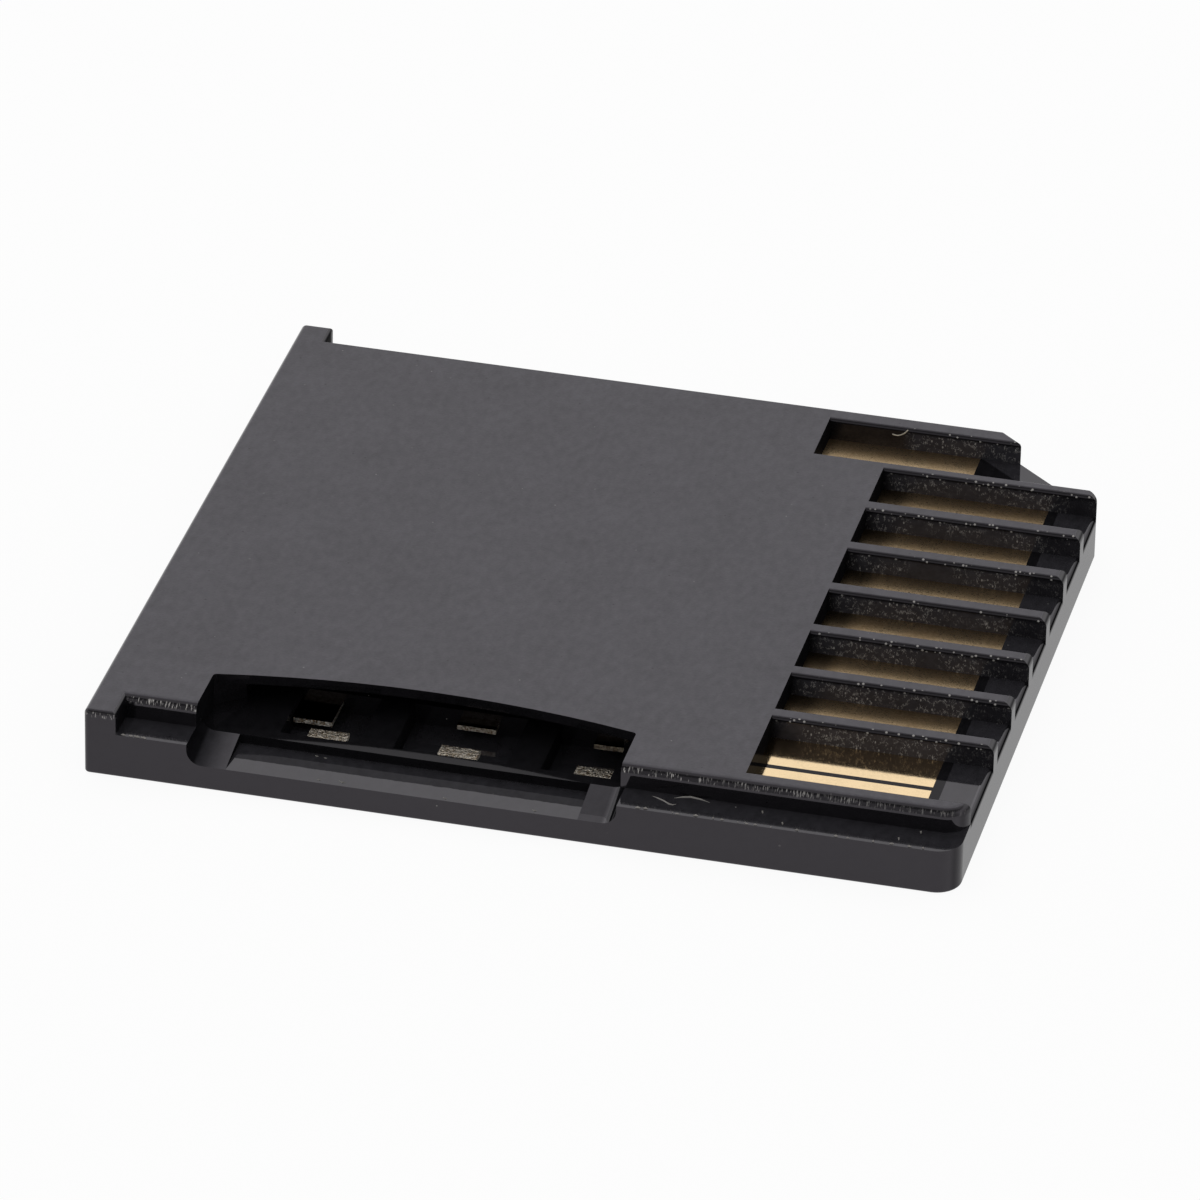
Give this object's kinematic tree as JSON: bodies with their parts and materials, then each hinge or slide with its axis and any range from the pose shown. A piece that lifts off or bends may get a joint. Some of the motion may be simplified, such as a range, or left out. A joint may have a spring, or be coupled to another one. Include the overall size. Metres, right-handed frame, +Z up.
{
  "type": "memory card adapter",
  "caption": "Short flat memory card adapter with a side slot for a small card, a comb of ribs between gold pads along one end, and one cut corner.",
  "frame": {"origin": "bottom centre of the whole adapter, on the label side it lies on", "axes": "+X to the contact edge, +Y to the long side with the cut corner, +Z up to the contact side"},
  "size_m": [0.0256, 0.024, 0.0021],
  "materials": {
    "shell_plastic": "fine spark-eroded grain, dark grey",
    "carrier_plastic": "smooth black moulding",
    "contact_gold": "dull gold plating with fine scratches",
    "frame_metal": "sheared ends of the stamped strip",
    "spring_steel": "bright stamped strip"
  },
  "bodies": {
    "root": {"label_side_shell": "shell_plastic", "contact_side_shell": "shell_plastic", "lead_carrier": "carrier_plastic", "card_catch_spring": "spring_steel", "tie_bar_stubs": "frame_metal", "contact_lead_1": "contact_gold", "contact_lead_2": "contact_gold", "contact_lead_3": "contact_gold", "contact_lead_4": "contact_gold", "contact_lead_5": "contact_gold", "contact_lead_6": "contact_gold", "contact_lead_7": "contact_gold", "contact_lead_8": "contact_gold", "contact_lead_9": "contact_gold"}
  },
  "joints": []
}
